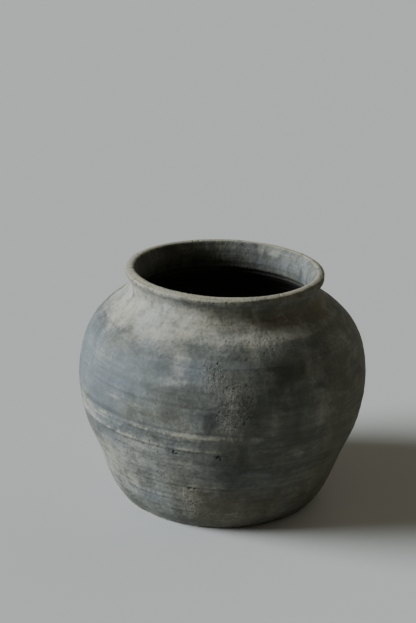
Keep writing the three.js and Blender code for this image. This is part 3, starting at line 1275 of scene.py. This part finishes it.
class Board:
    """A material being put together from nodes."""

    def __init__(self, name: str) -> None:
        """Start an empty node material.

        Args:
            name: the material's name.
        """
        self.material = bpy.data.materials.new(name)
        self.material.use_nodes = True
        self.tree = self.material.node_tree
        self.tree.nodes.clear()

    def node(self, kind: str, settings: dict, inputs: dict) -> bpy.types.Node:
        """Add a node, set it up, then fill or link its inputs.

        Args:
            kind: the node's type.
            settings: properties by name, set first.
            inputs: values, sockets or Values by input name or number.

        Returns:
            The node.
        """
        made = self.tree.nodes.new(kind)
        for name, setting in settings.items():
            setattr(made, name, setting)
        for name, given in inputs.items():
            given = given.socket if isinstance(given, Value) else given
            if isinstance(given, bpy.types.NodeSocket):
                self.tree.links.new(given, made.inputs[name])
            else:
                made.inputs[name].default_value = given
        return made

    def value(self, kind: str, settings: dict, inputs: dict) -> Value:
        """Add a node and wrap its first output as a number."""
        return Value(self, self.node(kind, settings, inputs).outputs[0])

    def stains(self, layer: str) -> tuple["Value", ...]:
        """Read a stain attribute of the mesh.

        Args:
            layer: the attribute's name.

        Returns:
            Its three channels, as numbers.
        """
        read = self.node("ShaderNodeAttribute", {"attribute_name": layer}, {}).outputs["Vector"]
        split = self.node("ShaderNodeSeparateXYZ", {}, {0: read}).outputs
        return tuple(Value(self, socket) for socket in split)

    def noise(self, place: bpy.types.NodeSocket, scale: float, detail: float) -> Value:
        """Smooth noise at a place, about 0 to 1 with a mean of a half."""
        inputs = {"Vector": place, "Scale": scale, "Detail": detail, "Roughness": 0.6}
        return self.value("ShaderNodeTexNoise", {}, inputs)

    def stretched(
        self, place: bpy.types.NodeSocket, scale: tuple[float, float, float]
    ) -> bpy.types.NodeSocket:
        """Scale a place by a different amount along each axis."""
        inputs = {0: place, 1: scale}
        return self.node("ShaderNodeVectorMath", {"operation": "MULTIPLY"}, inputs).outputs[0]

    def blend(
        self, share: Value | float, under: object, over: object, mode: str = "MIX"
    ) -> bpy.types.NodeSocket:
        """Lay one colour over another.

        Args:
            share: how much of the upper colour shows.
            under: the lower colour, as a socket or four numbers.
            over: the upper colour, as a socket or four numbers.
            mode: how they mix.

        Returns:
            The mixed colour's socket.
        """
        settings = {"data_type": "RGBA", "blend_type": mode, "clamp_factor": True}
        return self.node("ShaderNodeMix", settings, {0: share, 6: under, 7: over}).outputs[2]

    def finished(self, inputs: dict) -> bpy.types.Material:
        """Close the material with a Principled shader.

        Args:
            inputs: the shader's inputs by name.

        Returns:
            The material.
        """
        shader = self.node("ShaderNodeBsdfPrincipled", {}, inputs)
        self.node("ShaderNodeOutputMaterial", {}, {"Surface": shader.outputs[0]})
        return self.material


def paint(red: int, green: int, blue: int) -> tuple[float, float, float, float]:
    """Turn a screen colour into the linear light that a shader takes.

    Each share s of full light becomes ((s + 0.055) / 1.055) ** 2.4, and the darkest s / 12.92.

    Args:
        red: red, from 0 to 255.
        green: green, from 0 to 255.
        blue: blue, from 0 to 255.

    Returns:
        The colour as four numbers, the last one 1.
    """
    shares = (red / 255, green / 255, blue / 255)
    linear = [s / 12.92 if s <= 0.04045 else ((s + 0.055) / 1.055) ** 2.4 for s in shares]
    return (*linear, 1.0)


@dataclass(frozen=True)
class ClayFinish:
    """Unglazed grey clay with slip, chalky wash, smoke, earth, worn edges, dirty hollows and painted
    light.

    Attributes:
        body_dark: the bare clay where it is darkest.
        body_light: the bare clay where it is lightest.
        slip: blue-grey slip.
        chalk_and_highlight: pale chalky wash, and painted highlight on the lit shoulder, belly and lip.
        smoke_and_shade: dark smoke, and painted shade on the side away from the light, under the rim and
            deep inside.
        earth_and_shade: olive-brown earth, and painted shade on the side away from the light and under
            the rim.
        worn: clay rubbed pale.
        hollow_dirt_and_shade: dirt and painted shade in pits and grooves.
        cool: tint laid over all of it where it is coolest.
        warm: tint laid over all of it where it is warmest.
        roughness: roughness of the dry clay.
        cloud_scale: fineness of the soft clouds, per metre.
        grain_scale: fineness of the grain.
        speck_scale: fineness of the specks.
        wipe_scale: fineness of the wiped lines across, along and up the jar.
    """

    body_dark: tuple = paint(62, 65, 64)
    body_light: tuple = paint(108, 111, 108)
    slip: tuple = paint(92, 101, 110)
    chalk_and_highlight: tuple = paint(156, 155, 149)
    smoke_and_shade: tuple = paint(44, 46, 45)
    earth_and_shade: tuple = paint(88, 83, 62)
    worn: tuple = paint(148, 145, 133)
    hollow_dirt_and_shade: tuple = paint(44, 43, 37)
    cool: tuple = paint(188, 190, 193)
    warm: tuple = paint(197, 192, 178)
    roughness: float = 0.9
    cloud_scale: float = 30.0
    grain_scale: float = 300.0
    speck_scale: float = 950.0
    wipe_scale: tuple[float, float, float] = (14.0, 14.0, 330.0)

    def make(self, name: str) -> bpy.types.Material:
        """Put the material together.

        Args:
            name: the material's name.

        Returns:
            The material.
        """
        board = Board(name)
        place = board.node("ShaderNodeTexCoord", {}, {}).outputs["Object"]
        wash, wear, mottle = map(board.stains, STAIN_LAYERS)
        (chalk_and_highlight, slip, smoke_and_shade), (earth_and_shade, worn, hollow_dirt_and_shade), (tone, tint, grit) = wash, wear, mottle
        cloud = board.noise(place, self.cloud_scale, 5.0) - 0.5
        grain = board.noise(place, self.grain_scale, 4.0) - 0.5
        speck = board.noise(place, self.speck_scale, 3.0) - 0.5
        wiped = board.noise(board.stretched(place, self.wipe_scale), 1.0, 4.0) - 0.5

        shade = 0.5 + 0.55 * tone + 0.5 * cloud + 0.55 * grain + 0.35 * wiped
        colour = board.blend(shade.held(), self.body_dark, self.body_light)
        # For each coat: its colour, its largest share, the covers at which it starts and is
        # whole, and its cover.
        coats = (
            # The olive and dark coats also lay painted shade, and the pale wash painted highlight.
            (self.earth_and_shade, 0.75, 0.1, 1.0, earth_and_shade + 0.5 * cloud + 0.4 * grain),
            (self.slip, 0.85, 0.0, 1.05, slip + 0.3 * tone + 0.5 * wiped + 0.4 * grain),
            (self.chalk_and_highlight, 0.9, -0.1, 1.1, chalk_and_highlight + 0.3 * tone + 0.8 * grain + 0.5 * wiped - 0.3 * hollow_dirt_and_shade),
            (self.smoke_and_shade, 0.75, 0.1, 1.05, smoke_and_shade - 0.25 * tone + 0.5 * cloud + 0.4 * grain),
            (self.worn, 0.85, 0.2, 0.8, worn + 0.3 * tone + 0.9 * grain),
            # Dark coat in pits and grooves: dirt and painted shade.
            (self.hollow_dirt_and_shade, 0.8, 0.1, 0.9, hollow_dirt_and_shade),
        )
        for coat, most, bare, full, cover in coats:
            colour = board.blend(most * cover.eased(bare, full), colour, coat)
        colour = board.blend((grit * speck.eased(0.06, 0.18)) * 0.7, colour, self.hollow_dirt_and_shade)
        colour = board.blend((grit * speck.eased(-0.06, -0.18)) * 0.6, colour, self.chalk_and_highlight)
        hue = board.blend((0.5 + 0.6 * tint).held(), self.cool, self.warm)
        colour = board.blend(1.0, colour, hue, "MULTIPLY")
        lift = 1.75 + 0.20 * tone + 0.5 * grain + 0.35 * speck
        colour = board.node("ShaderNodeVectorMath", {"operation": "SCALE"}, {0: colour, "Scale": lift})

        height = 0.6 * grain + (0.3 + 0.6 * grit) * speck + 0.3 * wiped
        bump = {"Strength": 0.6, "Distance": 0.0006, "Height": height}
        normal = board.node("ShaderNodeBump", {}, bump).outputs[0]
        rough = self.roughness - 0.10 * slip.held() + 0.15 * grain
        inputs = {"Base Color": colour.outputs[0], "Roughness": rough.held(), "Normal": normal}
        return board.finished(inputs)


@dataclass
class ClayJar:
    """The whole jar, section by section.

    Attributes:
        nodes: the frame's objects by node name.
        finish: the clay's finish.
        settling: how the jar settled.
        wall: weave of the rings.
        neck: weave of the neck and the rim, fine on both faces.
        fine: the rings that have the neck's weave.
        slab: weave of the foot slab.
        slots: a material slot name for each node; not used.
    """

    nodes: dict[str, bpy.types.Object]
    finish: ClayFinish = ClayFinish()
    settling: Settling = Settling()
    wall: Weave = Weave(1180, 0.82 * MM, 2.6 * MM)
    neck: Weave = Weave(1200, 0.6 * MM, 0.8 * MM)
    fine: tuple[str, ...] = ("neck_collar", "rim_roll")
    slab: Weave = Weave(440, 0.8 * MM, 1.12 * MM)
    slots: dict[str, str] = field(default_factory=lambda: {
        "foot_slab": "foot_clay",
        "lower_wall": "lower_clay",
        "belly_wall": "belly_clay",
        "seam_coil": "coil_clay",
        "upper_wall": "upper_clay",
        "shoulder_wall": "shoulder_clay",
        "closing_ring": "closing_clay",
        "neck_collar": "neck_clay",
        "rim_roll": "rim_clay",
    })

    def build(self) -> list[bpy.types.Object]:
        """Build and dress every section.

        Returns:
            The sections' objects, from the bottom up.
        """
        path = ClayPath(self.nodes)
        skin = Skin(path)
        clay = self.finish.make("weathered_clay")
        weaves = (self.wall, self.neck, self.slab)
        wall, neck, slab = (weave for weave in weaves)
        slab_seam = path.spans[0].outer[0]
        parts: dict[str, FootSlab | ClayRing] = {
            path.SLAB: FootSlab(path.SLAB, slab_seam, skin, slab, self.settling)
        }
        for span in path.spans:
            weave = neck if span.node in self.fine else wall
            parts[span.node] = ClayRing(span, skin, weave, self.settling)
        pieces = []
        for node, part in parts.items():
            piece = part.build()
            piece.data.materials.append(clay)
            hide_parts(node)
            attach(piece, "root")
            LOG.info("%s: %d faces", piece.name, len(piece.data.polygons))
            pieces.append(piece)
        return pieces


@dataclass(frozen=True)
class SoftLight:
    """A wide, even light from one side.

    Attributes:
        name: the light's name.
        azimuth: its direction, degrees round from the front towards +X.
        elevation: its height, in degrees above level.
        spread: how wide it looks from the jar, in degrees.
        strength: the light it casts on a surface that faces it.
        tint: its colour.
    """

    name: str
    azimuth: float
    elevation: float
    spread: float
    strength: float
    tint: tuple[float, float, float]

    def hang(self) -> None:
        """Add the light, turned to shine at the jar from its azimuth and elevation."""
        turn, rise = math.radians(self.azimuth), math.radians(self.elevation)
        toward = Vector((
            math.sin(turn) * math.cos(rise),
            -math.cos(turn) * math.cos(rise),
            math.sin(rise),
        ))
        lamp = bpy.data.lights.new(self.name, "SUN")
        lamp.angle = math.radians(self.spread)
        lamp.energy, lamp.color = self.strength, self.tint
        holder = add_object(self.name, lamp)
        holder.rotation_mode = "QUATERNION"
        holder.rotation_quaternion = (-toward).to_track_quat("-Z", "Y")


@dataclass(frozen=True)
class Studio:
    """A pale floor, soft lights on the left and behind, weak light all round, and the camera.

    Attributes:
        floor_size: side of the floor, in metres.
        floor_drop: how far the floor lies under the jar, in metres.
        floor_colour: the floor's colour.
        floor_roughness: the floor's roughness.
        lens: focal length, in millimetres.
        sensor: width of the camera's sensor, in millimetres.
        distance: the camera's distance in front of the jar's axis, in metres.
        camera_height: the camera's height, in metres.
        pitch: how far the camera looks down, in degrees.
        yaw: how far it looks to the right, in degrees.
        roll: how far it is turned anticlockwise about its view, in degrees.
        key: the main light, from the left.
        fill: the weak light behind on the right, which clears the dark side.
        room_tint: colour of the light from all round.
        room_strength: its strength.
        wall_colour: the pale wall that shows past the floor's far edge.
    """

    floor_size: float = 30.0
    floor_drop: float = 0.3 * MM
    floor_colour: tuple = paint(181, 182, 181)
    floor_roughness: float = 0.9
    lens: float = 85.0
    sensor: float = 36.0
    distance: float = 1.4396
    camera_height: float = 0.7213
    pitch: float = 20.03
    yaw: float = -0.666
    roll: float = 1.5
    key: SoftLight = SoftLight("key", -86.0, 26.0, 30.0, 7.0, (0.92, 0.97, 1.0))
    fill: SoftLight = SoftLight("fill", 134.0, 28.0, 70.0, 0.5, (1.0, 0.95, 0.82))
    room_tint: tuple[float, float, float] = (1.0, 0.965, 0.70)
    room_strength: float = 0.10
    wall_colour: tuple[float, float, float] = (0.49, 0.50, 0.495)

    def floor(self) -> None:
        """Lay a plain pale floor just under the jar."""
        half, level = self.floor_size / 2, -self.floor_drop
        mesh = bpy.data.meshes.new("floor")
        corners = [(-half, -half, level), (half, -half, level), (half, half, level), (-half, half, level)]
        mesh.from_pydata(corners, [], [(0, 1, 2, 3)])
        inputs = {"Base Color": self.floor_colour, "Roughness": self.floor_roughness}
        mesh.materials.append(Board("pale_floor").finished(inputs))
        floor = add_object("floor", mesh)

    def lights(self) -> None:
        """Light the jar from the left, faintly from behind, and weakly from all round.

        What the camera sees past the floor is the pale wall, which casts no light.
        """
        self.key.hang()
        self.fill.hang()
        world = bpy.data.worlds.new("room")
        world.use_nodes = True
        nodes, join = world.node_tree.nodes, world.node_tree.links.new
        room, wall = nodes["Background"], nodes.new("ShaderNodeBackground")
        choice = nodes.new("ShaderNodeMixShader")
        room.inputs["Color"].default_value = (*self.room_tint, 1.0)
        room.inputs["Strength"].default_value = self.room_strength
        wall.inputs["Color"].default_value = (*self.wall_colour, 1.0)
        join(nodes.new("ShaderNodeLightPath").outputs["Is Camera Ray"], choice.inputs[0])
        join(room.outputs[0], choice.inputs[1])
        join(wall.outputs[0], choice.inputs[2])
        join(choice.outputs[0], nodes["World Output"].inputs["Surface"])
        bpy.context.scene.world = world

    def camera(self) -> None:
        """Set up the camera: forward, right and up are worked out from yaw, pitch and roll."""
        yaw, pitch, roll = (math.radians(angle) for angle in (self.yaw, self.pitch, self.roll))
        forward = Vector((
            math.sin(yaw) * math.cos(pitch),
            math.cos(yaw) * math.cos(pitch),
            -math.sin(pitch),
        ))
        level = Vector((math.cos(yaw), -math.sin(yaw), 0))
        upright = level.cross(forward)
        right = math.cos(roll) * level + math.sin(roll) * upright
        up = math.cos(roll) * upright - math.sin(roll) * level
        lens = bpy.data.cameras.new("camera")
        lens.lens, lens.sensor_width = self.lens, self.sensor
        holder = add_object("camera", lens)
        axes = Matrix((right, up, -forward)).transposed().to_4x4()
        holder.matrix_world = Matrix.Translation((0, -self.distance, self.camera_height)) @ axes
        bpy.context.scene.camera = holder


def main() -> None:
    """Build the jar and its surroundings, in order, and report each piece."""
    logging.basicConfig(level=logging.INFO, format="%(name)s: %(message)s")
    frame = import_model()
    jar = ClayJar(frame["nodes"])
    pieces = jar.build()
    LOG.info("jar: %d pieces", len(pieces))
    studio = Studio()
    studio.floor()
    studio.lights()
    studio.camera()


if __name__ == "__main__":
    main()
